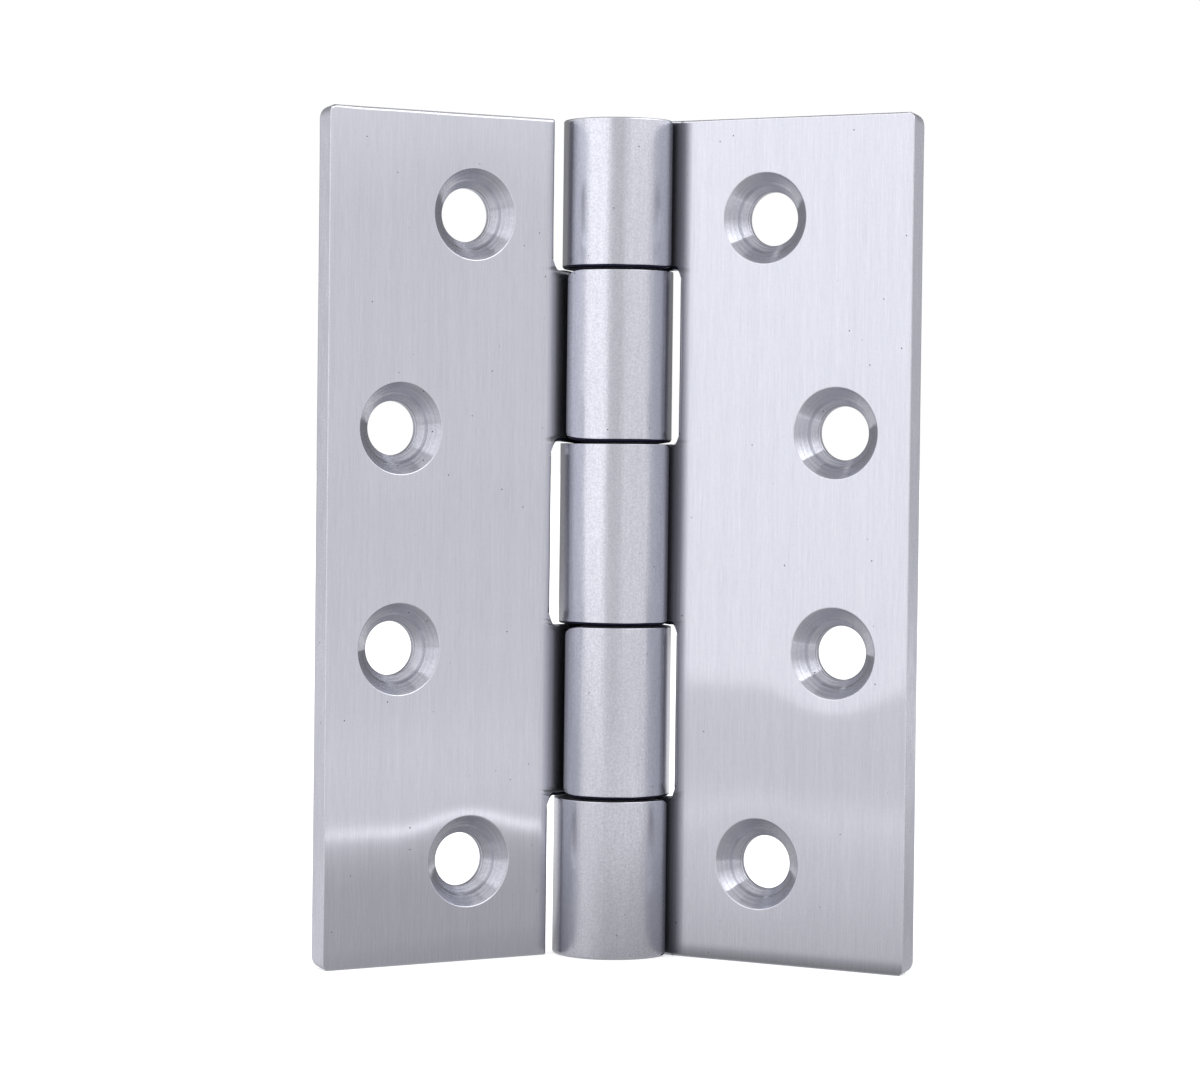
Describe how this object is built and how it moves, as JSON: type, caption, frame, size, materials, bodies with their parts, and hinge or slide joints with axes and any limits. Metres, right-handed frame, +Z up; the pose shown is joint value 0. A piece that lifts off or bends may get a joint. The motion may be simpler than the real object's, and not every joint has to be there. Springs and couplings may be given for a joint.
{
  "type": "door hinge",
  "caption": "Stainless steel butt hinge: two countersunk leaves with rolled, interleaved knuckles that turn on a straight pin.",
  "frame": {"origin": "middle of the jamb leaf's screw pattern, on its back face, at the hinge's mid-height", "axes": "+Z up along the pin, +X across the jamb leaf away from the pin, +Y out of the jamb leaf's back face into the jamb"},
  "size_m": [0.0619, 0.0394, 0.1016],
  "materials": {
    "leaf_steel": "brushed along the pin, with a polished barrel",
    "pin_steel": "plain turned"
  },
  "bodies": {
    "jamb": {"jamb_leaf": "leaf_steel", "hinge_pin": "pin_steel"},
    "door": {"door_leaf": "leaf_steel"}
  },
  "joints": [
    {"name": "leaf_swing", "type": "hinge", "parent": "jamb", "child": "door", "pos_m": [-0.02395, -0.0047, 0], "axis": [0, 0, 1], "range_deg": [-170, 120]}
  ]
}
